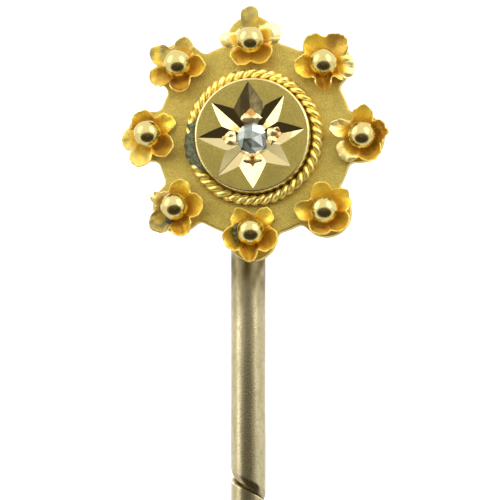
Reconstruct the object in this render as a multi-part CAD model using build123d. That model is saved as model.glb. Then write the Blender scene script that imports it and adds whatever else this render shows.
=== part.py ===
"""Antique stick pin: a flower-bordered round head with a star-set stone, on a long plain stem.

Row frame, in millimetres: +Z runs up the stem's axis, the head's face looks along -Y, and +X is to the right
of someone looking at that face. The origin is on the stem's axis, where the pin enters the cloth below the head.

The head's pieces are modelled in a frame of their own, in which z = 0 is the back plate's front face, +z comes
out of the face and +y is up. in_row() carries them into the row frame.
"""

from build123d import *
from math import cos, radians, sin, tan
import os

# ---- back plate ----
PLATE_T = 0.40          # thickness of the sheet
PLATE_R = 3.30          # round body between the lobes
LOBE_R = 0.84           # each lobe is a disc under a flower
LOBE_FILLET = 0.28      # where a lobe meets the body
PLATE_EDGE = 0.05       # worn edge

# ---- flowers: stamped sheet, petals raised by hand ----
# name: (angle round the head from +x, flower's distance from the centre, lobe's distance, angle of the first
#        petal, lift of each petal above the plate, anticlockwise). Degrees and millimetres.
FLOWERS = {
    "east": (-0.4, 3.64, 3.51, 12, (58, 28, 20, 18, 40)),
    "north_east": (45.9, 3.40, 3.45, -14, (38, 16, 18, 34, 40)),
    "north": (91.6, 3.25, 3.32, 24, (22, 14, 15, 40, 42)),
    "north_west": (135.6, 3.56, 3.47, 4, (36, 34, 12, 14, 24)),
    "west": (177.9, 3.55, 3.48, -30, (25, 28, 48, 42, 8)),
    "south_west": (221.5, 3.52, 3.46, 14, (30, 36, 76, 20, 28)),
    "south": (268.6, 3.21, 3.29, -16, (36, 32, 42, 38, 28)),
    "south_east": (-46.4, 3.45, 3.48, 32, (30, 40, 36, 42, 28)),
}
PETALS = 5
SHEET_T = 0.09
BLANK_R = 1.06          # flower's radius before its petals were raised
BASE_R = 0.26           # flat that is soldered to the plate
CUP_R = 0.30            # bend between that flat and a petal
PETAL_R = 0.34          # round end of a petal
PETAL_ROOT_W = 0.56     # width of a petal where it leaves the notch
NOTCH_R = 0.50          # the notches between petals are cut in to here
BEAD_R = 0.44
BEAD_FLAT = 0.05        # depth of the soldered flat under a bead

# ---- boss and star plate ----
BOSS_R = 1.93
BOSS_H = 0.78
BOSS_WALL = 0.22
BOSS_LIP = 0.07         # thin rim round the star plate
LEDGE_Z = 0.30          # the star plate rests on this ledge, over a hollow
STAR_TOP = 0.765        # just under the rim
STAR_GAP = 0.005        # round the star plate
STAR_TURN = 4.0         # the star was cut a little askew
RAYS = 8
RAY_TIP_R = 1.80
RAY_INNER_R = 0.30      # each cutter starts here, inside the stone's seat
RAY_HALF_ANGLE = 30.0   # in plan, at the tip
RAY_FALL = 15.5         # fall of the valley line towards the stone
ABOVE = 0.30            # cutters run this far past the face that they cut
SEAT_R = 0.53
SEAT_Z = 0.40
CULET_HOLE_R = 0.36
GRAINS = 4
GRAIN_R = 0.15
GRAIN_AT = 0.70
GRAIN_Z = 0.58

# ---- rose-cut stone: flat below, two rows of facets above ----
STONE_R = 0.515
STONE_GIRDLE = 0.04
STONE_CROWN_R = 0.31
STONE_CROWN_Z = 0.24
STONE_H = 0.34
STONE_SIDES = 6

# ---- rope border: two wires twisted together, closed with a butt join ----
ROPE_R = 2.13
STRAND_R = 0.092
STRAND_GAP = 0.002      # from each wire to the rope's own centreline
ROPE_TWISTS = 22
ROPE_JOIN = 249.0
ROPE_SWEEP = 359.2
STRAND_START = 45.0     # first strand's angle round the rope's own centreline, at the join
POINTS_PER_TWIST = 8

# ---- stem ----
STEM_R = 0.575
HEAD_X = 0.42           # the stem is soldered off the head's centre line
HEAD_Z = 7.0
PLATE_BACK_Y = -1.50    # the back plate's back face
NECK_R = 0.90           # bend of the stem's centreline behind the head
NECK_UP = 0.50          # the foot is this far above the head's centre
FOOT_R = 1.00
FOOT_T = 0.20
SOCKET_R = 0.78
SOCKET_L = 0.40
SPIRAL_TOP = -3.45      # the wire is filed along one side, then twisted, so that the cloth grips it
SPIRAL_PITCH = 1.65
SPIRAL_TURNS = 6
GROOVE_DEPTH = 0.14
GROOVE_WALL = 17.0      # share of the wire's circle, in degrees, over the groove's short side
GROOVE_SLOPE = 74.0     # and over its long side
TAPER_TOP = -31.0
TIP_Z = -43.0
TIP_R = 0.04


def in_row(shape):
    """Head frame to row frame."""
    return Pos(HEAD_X, PLATE_BACK_Y - PLATE_T, HEAD_Z) * Rot(90, 0, 0) * shape


def polar(radius, angle):
    return radius * cos(radians(angle)), radius * sin(radians(angle))


def back_plate():
    """Round body with a lobe under each flower, and worn edges."""
    outline = Sketch() + Circle(PLATE_R)
    for angle, _, lobe_at, _, _ in FLOWERS.values():
        outline += Pos(*polar(lobe_at, angle)) * Circle(LOBE_R)
    outline = fillet(outline.vertices(), LOBE_FILLET)
    plate = Pos(0, 0, -PLATE_T) * extrude(outline, PLATE_T)
    faces = plate.faces().sort_by(Axis.Z)
    return fillet(faces[0].edges() + faces[-1].edges(), PLATE_EDGE)


def on_sheet(lift, distance):
    """Plan radius and height of the sheet's underside, at that distance along it from the flower's centre."""
    bend = radians(lift)
    if distance <= BASE_R:
        return distance, 0
    turned = min(bend, (distance - BASE_R) / CUP_R)
    straight = distance - BASE_R - CUP_R * turned
    radius = BASE_R + CUP_R * sin(turned) + straight * cos(bend)
    height = CUP_R * (1 - cos(turned)) + straight * sin(bend)
    return radius, height


def cup_arc(radius, lift):
    """Arc about the bend's centre in the x-z plane, from level up to the petal's lift."""
    points = []
    for turned in (0, radians(lift / 2), radians(lift)):
        points.append((BASE_R + radius * sin(turned), 0, CUP_R - radius * cos(turned)))
    return ThreePointArc(*points)


def petal_strip(lift):
    """Sheet bent up from the flat base, turned over one petal's share of the flower."""
    under, over = cup_arc(CUP_R, lift), cup_arc(CUP_R - SHEET_T, lift)
    straight = BLANK_R - BASE_R - CUP_R * radians(lift)
    along = Vector(cos(radians(lift)), 0, sin(radians(lift))) * straight
    edges = [
        Line((0, 0, 0), under @ 0),
        under,
        Line(under @ 1, under @ 1 + along),
        Line(under @ 1 + along, over @ 1 + along),
        Line(over @ 1 + along, over @ 1),
        over,
        Line(over @ 0, (0, 0, SHEET_T)),
        Line((0, 0, SHEET_T), (0, 0, 0)),
    ]
    share = 360 / PETALS
    return Rot(0, 0, -share / 2) * revolve(make_face(edges), Axis.Z, share)


def petal(lift):
    """One petal: the bent strip trimmed, square to the sheet, to a notched root and a round end."""
    bend = radians(lift)
    centre_r, centre_z = on_sheet(lift, BLANK_R - PETAL_R)
    square_to_sheet = Plane(
        origin=(centre_r, 0, centre_z),
        x_dir=(cos(bend), 0, sin(bend)),
        z_dir=(-sin(bend), 0, cos(bend)),
    )
    outline = Circle(PETAL_R) + Pos(-PETAL_R, 0) * Rectangle(2 * PETAL_R, PETAL_ROOT_W)
    blade = extrude(square_to_sheet * outline, BEAD_R, both=True)
    root = extrude(Circle(on_sheet(lift, NOTCH_R)[0]), BLANK_R)
    return petal_strip(lift) & (root + blade)


def flower(name):
    """Petals stamped in one piece of sheet, each raised to its own lift."""
    angle, distance, _, turn, lifts = FLOWERS[name]
    shape = extrude(Circle(BASE_R), SHEET_T)
    for i, lift in enumerate(lifts):
        shape += Rot(0, 0, i * 360 / PETALS) * petal(lift)
    return Pos(*polar(distance, angle)) * Rot(0, 0, turn) * shape


def bead(name):
    """Solid ball with a small flat where it is soldered into its flower."""
    angle, distance = FLOWERS[name][:2]
    ball = Pos(0, 0, SHEET_T + BEAD_R - BEAD_FLAT) * Sphere(BEAD_R)
    above = Pos(0, 0, SHEET_T) * extrude(Circle(2 * BEAD_R), 2 * BEAD_R)
    return Pos(*polar(distance, angle)) * (ball & above)


def rope_strand(phase):
    """One of the two wires twisted together round the foot of the boss."""
    wind = STRAND_R + STRAND_GAP
    steps = ROPE_TWISTS * POINTS_PER_TWIST
    points = []
    for i in range(steps + 1):
        round_boss = ROPE_JOIN + ROPE_SWEEP * i / steps
        round_rope = radians(phase + 360 * ROPE_TWISTS * i / steps)
        at = polar(ROPE_R + wind * cos(round_rope), round_boss)
        points.append((*at, wind + STRAND_R + wind * sin(round_rope)))
    path = Spline(*points)
    section = Plane(origin=path @ 0, z_dir=path % 0) * Circle(STRAND_R)
    return sweep(section, path=path, is_frenet=True)


def boss_wall():
    """Tube soldered to the plate, with a ledge for the star plate and a thin rim round it."""
    tube = extrude(Circle(BOSS_R), BOSS_H)
    tube -= extrude(Circle(BOSS_R - BOSS_WALL), LEDGE_Z)
    return tube - Pos(0, 0, LEDGE_Z) * extrude(Circle(BOSS_R - BOSS_LIP), BOSS_H)


def ray_cutter():
    """V groove along +x. Its tip is on the star plate's face, and it widens and deepens towards the stone."""
    run = RAY_TIP_R - RAY_INNER_R
    depth = run * tan(radians(RAY_FALL))
    grow = (depth + ABOVE) / depth
    half = run * tan(radians(RAY_HALF_ANGLE)) * grow
    corners = [(RAY_INNER_R, 0, -depth), (RAY_INNER_R + run * grow, 0, ABOVE)]
    corners += [(RAY_INNER_R, side * half, ABOVE) for side in (-1, 1)]
    return Pos(0, 0, STAR_TOP) * ConvexPolyhedron(corners)


def star_plate():
    """Disc with bright-cut rays, the stone's seat, and the grains raised beside it from the disc's own metal."""
    disc = Pos(0, 0, LEDGE_Z) * extrude(Circle(BOSS_R - BOSS_LIP - STAR_GAP), STAR_TOP - LEDGE_Z)
    for i in range(RAYS):
        disc -= Rot(0, 0, STAR_TURN + i * 360 / RAYS) * ray_cutter()
    disc -= Pos(0, 0, SEAT_Z) * extrude(Circle(SEAT_R), BOSS_H)
    disc -= extrude(Circle(CULET_HOLE_R), BOSS_H)
    for i in range(GRAINS):
        disc += Rot(0, 0, STAR_TURN + i * 360 / GRAINS) * Pos(GRAIN_AT, 0, GRAIN_Z) * Sphere(GRAIN_R)
    return disc


def stone():
    """Rose cut: a triangle facet from each crown side to the point, and three below it to the girdle."""
    corners = [(0, 0, STONE_H)]
    for i in range(STONE_SIDES):
        corners.append((*polar(STONE_CROWN_R, i * 360 / STONE_SIDES), STONE_CROWN_Z))
    for i in range(2 * STONE_SIDES):
        at = polar(STONE_R, (i + 0.5) * 180 / STONE_SIDES)
        corners += [(*at, 0), (*at, STONE_GIRDLE)]
    return Pos(0, 0, SEAT_Z) * Rot(0, 0, STAR_TURN) * ConvexPolyhedron(corners)


def stem_foot():
    """Pad on the back plate with a short socket that takes the stem's end."""
    pad = extrude(Circle(FOOT_R), FOOT_T) + Pos(0, 0, FOOT_T) * extrude(Circle(SOCKET_R), SOCKET_L)
    pad -= Pos(0, 0, FOOT_T) * extrude(Circle(STEM_R), SOCKET_L)
    return Pos(0, PLATE_BACK_Y, HEAD_Z + NECK_UP) * Rot(-90, 0, 0) * pad


def grooved_stretch():
    """Wire with a filed groove, twisted to the left. The groove starts at +X."""
    groove = Polygon(
        polar(STEM_R, 0),
        polar(STEM_R - GROOVE_DEPTH, GROOVE_WALL),
        polar(STEM_R, GROOVE_WALL + GROOVE_SLOPE),
        polar(2 * STEM_R, (GROOVE_WALL + GROOVE_SLOPE) / 2),
        align=None,
    )
    wire = Circle(STEM_R) - groove
    length = SPIRAL_PITCH * SPIRAL_TURNS
    top = Vector(0, 0, SPIRAL_TOP)
    turned = -360 * SPIRAL_TURNS
    return Solid.extrude_linear_with_rotation(Pos(0, 0, SPIRAL_TOP) * wire.face(), top, (0, 0, -length), turned)


def stem():
    """One wire: bent into its socket, with a grooved stretch, a plain shank and a long point."""
    end_z = HEAD_Z + NECK_UP
    neck_z = end_z - NECK_R
    spiral_end = SPIRAL_TOP - SPIRAL_PITCH * SPIRAL_TURNS
    upper_shank = Pos(0, 0, SPIRAL_TOP) * extrude(Circle(STEM_R), neck_z - SPIRAL_TOP)
    lower_shank = Pos(0, 0, TAPER_TOP) * extrude(Circle(STEM_R), spiral_end - TAPER_TOP)
    bend = revolve(Pos(0, 0, neck_z) * Circle(STEM_R), Axis((0, -NECK_R, neck_z), (1, 0, 0)), 90)
    into_foot = Pos(0, -NECK_R, end_z) * Rot(90, 0, 0) * extrude(Circle(STEM_R), SOCKET_L)
    tip_centre = TIP_Z + TIP_R
    point = Pos(0, 0, (TAPER_TOP + tip_centre) / 2) * Cone(TIP_R, STEM_R, TAPER_TOP - tip_centre)
    tip = Pos(0, 0, tip_centre) * Sphere(TIP_R)
    return upper_shank + grooved_stretch() + lower_shank + bend + into_foot + point + tip


def pieces():
    """Every piece by its node's name, in the row frame."""
    made = {
        "back_plate": in_row(back_plate()),
        "boss_wall": in_row(boss_wall()),
        "star_plate": in_row(star_plate()),
        "stone": in_row(stone()),
        "rope_strand_a": in_row(rope_strand(STRAND_START)),
        "rope_strand_b": in_row(rope_strand(STRAND_START + 180)),
        "stem_foot": stem_foot(),
        "stem": stem(),
    }
    for name in FLOWERS:
        made[f"flower_{name}"] = in_row(flower(name))
        made[f"bead_{name}"] = in_row(bead(name))
    return made


os.makedirs("parts", exist_ok=True)
for node, shape in pieces().items():
    export_step(shape, f"parts/{node}.step")
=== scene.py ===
import math

import bpy
import numpy as np
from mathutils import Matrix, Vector, noise


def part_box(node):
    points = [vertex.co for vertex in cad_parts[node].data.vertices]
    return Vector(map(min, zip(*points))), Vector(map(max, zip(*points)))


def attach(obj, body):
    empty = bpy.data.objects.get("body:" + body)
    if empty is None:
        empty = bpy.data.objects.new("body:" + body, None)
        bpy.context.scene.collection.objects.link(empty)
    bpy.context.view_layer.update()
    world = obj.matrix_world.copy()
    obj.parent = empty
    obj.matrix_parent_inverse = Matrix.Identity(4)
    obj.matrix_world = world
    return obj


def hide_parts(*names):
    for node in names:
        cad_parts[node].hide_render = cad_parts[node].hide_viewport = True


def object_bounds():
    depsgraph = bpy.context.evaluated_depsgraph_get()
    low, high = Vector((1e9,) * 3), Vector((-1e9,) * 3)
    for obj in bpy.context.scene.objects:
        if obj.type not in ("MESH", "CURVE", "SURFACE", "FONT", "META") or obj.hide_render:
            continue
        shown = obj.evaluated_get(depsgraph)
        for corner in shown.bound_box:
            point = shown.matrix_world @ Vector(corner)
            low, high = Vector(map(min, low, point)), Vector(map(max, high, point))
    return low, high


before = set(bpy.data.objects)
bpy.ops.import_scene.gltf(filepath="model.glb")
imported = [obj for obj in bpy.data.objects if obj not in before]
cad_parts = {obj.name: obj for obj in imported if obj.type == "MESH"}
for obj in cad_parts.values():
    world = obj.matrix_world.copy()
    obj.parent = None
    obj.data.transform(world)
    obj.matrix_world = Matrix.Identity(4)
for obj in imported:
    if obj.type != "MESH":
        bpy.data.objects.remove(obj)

CAD_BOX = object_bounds()

# The visual model of the stick pin, laid over its CAD. Shapes are made in millimetres, the head's
# pieces in the head's own directions, and then carried into the row frame. Angles are in degrees.
MM = 0.001


# ---- where things are, in millimetres, from the CAD nodes ----
def box_mm(node):
    """(lowest corner, highest corner) of a CAD node, in millimetres."""
    low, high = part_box(node)
    return np.array(low) / MM, np.array(high) / MM


def head_frame():
    """Centre of the back plate's front face. Head pieces are built from it: x right, y up, z outwards."""
    low, high = box_mm("boss_wall")
    return np.array(((low[0] + high[0]) / 2, high[1], (low[2] + high[2]) / 2))


HEAD = head_frame()


def to_row(points):
    """Head points (x right, y up, z outwards) as row points."""
    p = np.asarray(points, float)
    return np.stack((HEAD[0] + p[..., 0], HEAD[1] - p[..., 2], HEAD[2] + p[..., 1]), -1)


def head_box(node):
    """A CAD node's box in the head's own directions: (lowest, highest)."""
    low, high = box_mm(node)
    first = np.array((low[0] - HEAD[0], low[2] - HEAD[2], HEAD[1] - high[1]))
    last = np.array((high[0] - HEAD[0], high[2] - HEAD[2], HEAD[1] - low[1]))
    return first, last


def radius_of(node):
    """Half the width of a CAD node."""
    low, high = head_box(node)
    return (high[0] - low[0]) / 2


# ---- meshes ----
SEED_STEP = (7.31, 3.77, 5.19)  # from one seed's part of the noise to the next one's


def wobble(points, scale, seed):
    """Smooth noise from -1 to 1 at each point."""
    flat = np.asarray(points, float).reshape(-1, 3)
    shift = Vector([seed * step for step in SEED_STEP])
    values = [noise.noise(Vector(p) * scale + shift) for p in flat]
    return np.array(values).reshape(np.asarray(points).shape[:-1])


def clamp(value):
    return np.clip(value, 0, 1)


def bell(value, middle, width):
    """1 at the middle, falling smoothly to nothing a few widths away."""
    return np.exp(-((value - middle) / width) ** 2)


def full_turn(count):
    """Even steps once round, in radians."""
    return np.linspace(0, 2 * math.pi, count, endpoint=False)


def grid_faces(rows, columns):
    """Quads over a grid of points, closed around its columns."""
    faces = []
    for i in range(rows - 1):
        for j in range(columns):
            k = (j + 1) % columns
            faces.append((i * columns + j, i * columns + k, (i + 1) * columns + k, (i + 1) * columns + j))
    return faces


def add_mark(mesh, name, values):
    """Numbers at the mesh's points, which its material reads."""
    layer = mesh.attributes.new(name, "FLOAT", "POINT")
    layer.data.foreach_set("value", np.ravel(values).astype(np.float32))


def add_object(name, data):
    obj = bpy.data.objects.new(name, data)
    bpy.context.scene.collection.objects.link(obj)
    return obj


def piece(name, points, faces, materials, slot, replaced=(), face_materials=None, crease=None, **marks):
    """A visual piece from points in row millimetres. Edges sharper than crease degrees stay sharp."""
    mesh = bpy.data.meshes.new(name)
    mesh.from_pydata([tuple(p) for p in np.reshape(points, (-1, 3)) * MM], [], faces)
    mesh.validate()
    for material in materials:
        mesh.materials.append(material)
    if face_materials is not None:
        mesh.polygons.foreach_set("material_index", face_materials)
    for mark, values in marks.items():
        add_mark(mesh, mark, values)
    mesh.polygons.foreach_set("use_smooth", [True] * len(mesh.polygons))
    if crease is not None:
        mesh.set_sharp_from_angle(angle=math.radians(crease))
    obj = add_object(name, mesh)
    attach(obj, "root")
    if replaced:
        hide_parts(*replaced)
    return obj


def tube(centres, radii, sides, up):
    """Rings of points around a line of centres, and each point's direction from its centre."""
    centres = np.asarray(centres, float)
    along = np.gradient(centres, axis=0)
    along /= np.linalg.norm(along, axis=1, keepdims=True)
    side = np.cross(along, up)
    side /= np.linalg.norm(side, axis=1, keepdims=True)
    over = np.cross(side, along)
    turn = full_turn(sides)
    ring = side[:, None] * np.cos(turn)[None, :, None] + over[:, None] * np.sin(turn)[None, :, None]
    return centres[:, None] + ring * np.asarray(radii).reshape(-1, 1, 1), ring


def capped(rows, columns):
    """Faces of a closed tube with both its ends capped."""
    ends = [tuple(range(columns))[::-1], tuple((rows - 1) * columns + j for j in range(columns))]
    return grid_faces(rows, columns) + ends


def looped(rows, columns):
    """Faces of a grid that is closed both ways, like a ring."""
    last = (rows - 1) * columns
    seam = [(last + j, last + (j + 1) % columns, (j + 1) % columns, j) for j in range(columns)]
    return grid_faces(rows, columns) + seam


def polar(radius, turn, height):
    """Head points at a radius and direction from its axis."""
    return np.stack(np.broadcast_arrays(radius * np.cos(turn), radius * np.sin(turn), height), -1)


def revolve(profile, columns):
    """Rings of points about the head's own axis from (radius, height) pairs."""
    radius, height = np.transpose(profile)[..., None]
    return polar(radius, full_turn(columns), height)


# ---- materials ----
class Finish:
    """A metal or mineral surface from noise at millimetre scale and the marks on its mesh."""

    def __init__(self, name, colour, roughness, metallic=1.0):
        self.material = bpy.data.materials.new(name)
        self.material.use_nodes = True
        self.tree = self.material.node_tree
        self.link = self.tree.links.new
        self.bsdf = self.tree.nodes["Principled BSDF"]
        self.bsdf.inputs["Metallic"].default_value = metallic
        place = self.add("TexCoord")
        self.place = self.mapped(place.outputs["Object"], (1 / MM, 1 / MM, 1 / MM))
        self.colour = self.source("RGB", (*colour, 1))
        self.roughness = self.source("Value", roughness)
        self.normal = None

    def add(self, kind):
        return self.tree.nodes.new("ShaderNode" + kind)

    def mapped(self, place, scale):
        node = self.add("Mapping")
        node.inputs["Scale"].default_value = scale
        self.link(place, node.inputs["Vector"])
        return node.outputs["Vector"]

    def source(self, kind, value):
        node = self.add(kind)
        node.outputs[0].default_value = value
        return node.outputs[0]

    def noise(self, per_mm, low, high, detail=4, stretch=None):
        """Noise turned into a share from 0, where it is below low, to 1, above high."""
        node = self.add("TexNoise")
        node.inputs["Scale"].default_value = per_mm
        node.inputs["Detail"].default_value = detail
        place = self.place if stretch is None else self.mapped(self.place, stretch)
        self.link(place, node.inputs["Vector"])
        return self.span(node.outputs["Fac"], low, high)

    def span(self, value, low, high):
        node = self.add("MapRange")
        node.interpolation_type = "SMOOTHSTEP"
        self.link(value, node.inputs["Value"])
        node.inputs["From Min"].default_value = low
        node.inputs["From Max"].default_value = high
        return node.outputs["Result"]

    def mark(self, name):
        """A mark on the mesh's points as a share."""
        node = self.add("Attribute")
        node.attribute_name = name
        return self.span(node.outputs["Fac"], 0.0, 1.0)

    def scaled(self, share, amount):
        node = self.add("Math")
        node.operation = "MULTIPLY"
        self.link(share, node.inputs[0])
        node.inputs[1].default_value = amount
        return node.outputs[0]

    def blend(self, share, colour, roughness=None, amount=1.0):
        """Moves the colour and roughness towards others where share, a noise or a mark's name, is high."""
        share = self.scaled(self.mark(share) if isinstance(share, str) else share, amount)
        node = self.add("MixRGB")
        self.link(share, node.inputs["Fac"])
        self.link(self.colour, node.inputs["Color1"])
        node.inputs["Color2"].default_value = (*colour, 1)
        self.colour = node.outputs["Color"]
        if roughness is not None:
            node = self.add("Mix")
            self.link(share, node.inputs["Factor"])
            self.link(self.roughness, node.inputs["A"])
            node.inputs["B"].default_value = roughness
            self.roughness = node.outputs["Result"]

    def bump(self, depth_mm, per_mm, low, high, detail=4, stretch=None, strength=1.0):
        """Relief from noise, on top of any earlier relief."""
        height = self.noise(per_mm, low, high, detail, stretch)
        node = self.add("Bump")
        node.inputs["Strength"].default_value = strength
        node.inputs["Distance"].default_value = depth_mm * MM
        self.link(height, node.inputs["Height"])
        if self.normal is not None:
            self.link(self.normal, node.inputs["Normal"])
        self.normal = node.outputs["Normal"]

    def done(self):
        self.link(self.colour, self.bsdf.inputs["Base Color"])
        self.link(self.roughness, self.bsdf.inputs["Roughness"])
        if self.normal is not None:
            self.link(self.normal, self.bsdf.inputs["Normal"])
        return self.material


def matte_gold():
    f = Finish("matte_gold", (0.69, 0.53, 0.125), 0.5)
    f.blend(f.noise(1.1, 0.35, 0.7), (0.56, 0.44, 0.11))
    f.blend(f.noise(24, 0.42, 0.62), (0.45, 0.34, 0.07), 0.6, amount=0.5)
    f.blend("edge", (0.85, 0.68, 0.26), 0.3, amount=0.7)
    # painted shade on the plate at the rope's foot
    f.blend("soil", (0.72, 0.42, 0.07), 0.5, amount=0.7)
    f.bump(0.006, 26, 0.2, 0.8, detail=3)
    f.bump(0.02, 2.2, 0.2, 0.8, detail=2, strength=0.6)
    return f.done()


def satin_gold():
    f = Finish("satin_gold", (0.45, 0.35, 0.085), 0.3)
    f.blend(f.noise(1.6, 0.35, 0.7), (0.38, 0.3, 0.08))
    f.blend(f.noise(20, 0.4, 0.62), (0.28, 0.215, 0.045), 0.42, amount=0.5)
    f.blend(f.noise(3, 0.68, 0.72, detail=1, stretch=(1, 1, 9)), (0.7, 0.57, 0.25), amount=0.3)
    f.bump(0.0025, 34, 0.2, 0.8, detail=3)
    return f.done()


def cut_gold():
    f = Finish("cut_gold", (0.64, 0.52, 0.25), 0.09)
    f.blend(f.noise(4.0, 0.45, 0.75), (0.6, 0.49, 0.22), 0.14)
    # dirt and painted shade towards the stone, and a painted shadow ring at its seat
    f.blend("soil", (0.62, 0.28, 0.05), 0.3, amount=0.9)
    # painted shade on the top cut and round the stone's seat
    f.blend("dim", (0.25, 0.2, 0.09), 0.18)
    f.blend("worn", (0.66, 0.56, 0.27), 0.42)
    f.bump(0.0015, 4, 0.3, 0.7, detail=2)
    return f.done()


def grain_gold():
    f = Finish("grain_gold", (0.92, 0.76, 0.4), 0.4)
    f.blend(f.noise(6, 0.5, 0.75), (0.8, 0.6, 0.25), 0.36)
    # dirt and painted shade in the hollows between curls
    f.blend("soil", (0.46, 0.22, 0.04), 0.35, amount=0.9)
    f.bump(0.003, 9, 0.3, 0.7)
    return f.done()


def rim_gold():
    f = Finish("rim_gold", (0.92, 0.77, 0.38), 0.2)
    f.blend(f.noise(3, 0.4, 0.7), (0.76, 0.6, 0.2), 0.3)
    f.blend("satin", (0.5, 0.39, 0.1), 0.31)
    # painted shade, with dirt, down the outer wall towards its foot
    f.blend("soil", (0.6, 0.34, 0.06), 0.5)
    f.bump(0.002, 30, 0.2, 0.8, detail=3)
    return f.done()


def rope_gold():
    f = Finish("rope_gold", (1.0, 0.84, 0.27), 0.28, metallic=0.86)
    f.blend(f.noise(5, 0.4, 0.7), (1.0, 0.81, 0.21), 0.34)
    # painted shade, with dirt, between the strands and at the rope's foot
    f.blend("soil", (0.78, 0.46, 0.05), 0.5)
    f.blend("residue", (0.16, 0.17, 0.08), 0.8)
    f.bump(0.003, 24, 0.3, 0.8, detail=3)
    return f.done()


def petal_gold():
    f = Finish("petal_gold", (1.0, 0.75, 0.105), 0.44, metallic=0.9)
    f.blend(f.noise(2.6, 0.4, 0.7), (0.98, 0.67, 0.07), 0.54)
    f.blend(f.noise(24, 0.42, 0.62), (0.88, 0.54, 0.05), 0.56, amount=0.6)
    # deep paints shade: a deeper orange in the cup round the ball
    f.blend("deep", (0.9, 0.5, 0.04), 0.52)
    f.blend("tarnish", (0.4, 0.33, 0.13), 0.5)
    # painted shade on the listed petals, mostly the lower ones below the ball
    f.blend("brown", (0.58, 0.31, 0.05), 0.45)
    f.blend("pale", (1.0, 0.88, 0.44), 0.36)
    # the burr is smoother, and painted lighter as a highlight
    f.blend("rim", (0.99, 0.84, 0.4), 0.3, amount=0.6)
    f.bump(0.004, 20, 0.2, 0.8, detail=4)
    f.bump(0.006, 6, 0.3, 0.7, detail=3)
    return f.done()


def bead_gold():
    f = Finish("bead_gold", (0.63, 0.515, 0.2), 0.15)
    f.blend(f.noise(5, 0.45, 0.75), (0.6, 0.475, 0.165), 0.2)
    # painted shade under the ball
    f.blend("soil", (0.42, 0.22, 0.04), 0.4)
    f.bump(0.002, 4, 0.3, 0.7, detail=2)
    f.bump(0.0005, 40, 0.5, 0.7, detail=2)
    return f.done()


def stem_metal():
    f = Finish("stem_metal", (0.47, 0.41, 0.25), 0.22)
    f.blend(f.noise(5, 0.35, 0.7, stretch=(1, 1, 0.2)), (0.4, 0.345, 0.19), 0.28)
    f.blend(f.noise(9, 0.45, 0.7, stretch=(1, 1, 0.6)),
            (0.31, 0.27, 0.145), 0.34, amount=0.6)
    f.blend(f.noise(2.0, 0.55, 0.75), (0.5, 0.38, 0.28), amount=0.5)
    # painted shade in the groove and towards the head, with tarnish
    f.blend("soil", (0.15, 0.115, 0.05), 0.45)
    # rim paints a highlight along the groove's sharp edge
    f.blend("rim", (0.92, 0.84, 0.6), 0.12)
    f.bump(0.0012, 12, 0.3, 0.8, stretch=(1, 1, 0.06))
    f.bump(0.0009, 16, 0.45, 0.7)
    return f.done()


def residue():
    f = Finish("residue", (0.15, 0.155, 0.085), 0.8, metallic=0.0)
    f.bsdf.inputs["Specular IOR Level"].default_value = 0.15
    f.blend(f.noise(7, 0.42, 0.58), (0.085, 0.1, 0.055))
    f.blend(f.noise(15, 0.6, 0.7), (0.3, 0.26, 0.1))
    f.bump(0.02, 16, 0.2, 0.8)
    return f.done()


MATTE, SATIN, CUT, GRAIN = matte_gold(), satin_gold(), cut_gold(), grain_gold()
RIM, ROPE, PETAL, BEAD = rim_gold(), rope_gold(), petal_gold(), bead_gold()
STEM, RESIDUE = stem_metal(), residue()


# ---- back plate ----
PLATE_COLUMNS = 720
WALL_MARGIN = 0.03  # keeps the rounded edges out of the outline
PLATE_UNEVEN = 0.012  # depth of the hollows in the plate's faces
WAVY_ROWS = slice(5, 20)  # rings whose outline is a little wavy
SOIL_R, SOIL_WIDTH = 2.3, 0.12  # painted shade: a darker orange ring on the plate at the rope's foot
PLATE_FACE = (0.02, 0.15, 0.3, 0.42, 0.52, 0.62, 0.7, 0.78, 0.85, 0.91, 0.96)  # shares of the reach


def plate_outline():
    """The plate's radius at even steps of angle, read from the CAD plate's side wall."""
    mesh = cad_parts["back_plate"].data
    points = np.array([v.co for v in mesh.vertices]) / MM - HEAD
    x, y, depth = points[:, 0], points[:, 2], points[:, 1]
    wall = (depth > depth.min() + WALL_MARGIN) & (depth < depth.max() - WALL_MARGIN)
    angle, radius = np.arctan2(y[wall], x[wall]), np.hypot(x[wall], y[wall])
    order = np.argsort(angle)
    turn = np.linspace(-math.pi, math.pi, PLATE_COLUMNS, endpoint=False)
    return turn, np.interp(turn, angle[order], radius[order], period=2 * math.pi)


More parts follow.
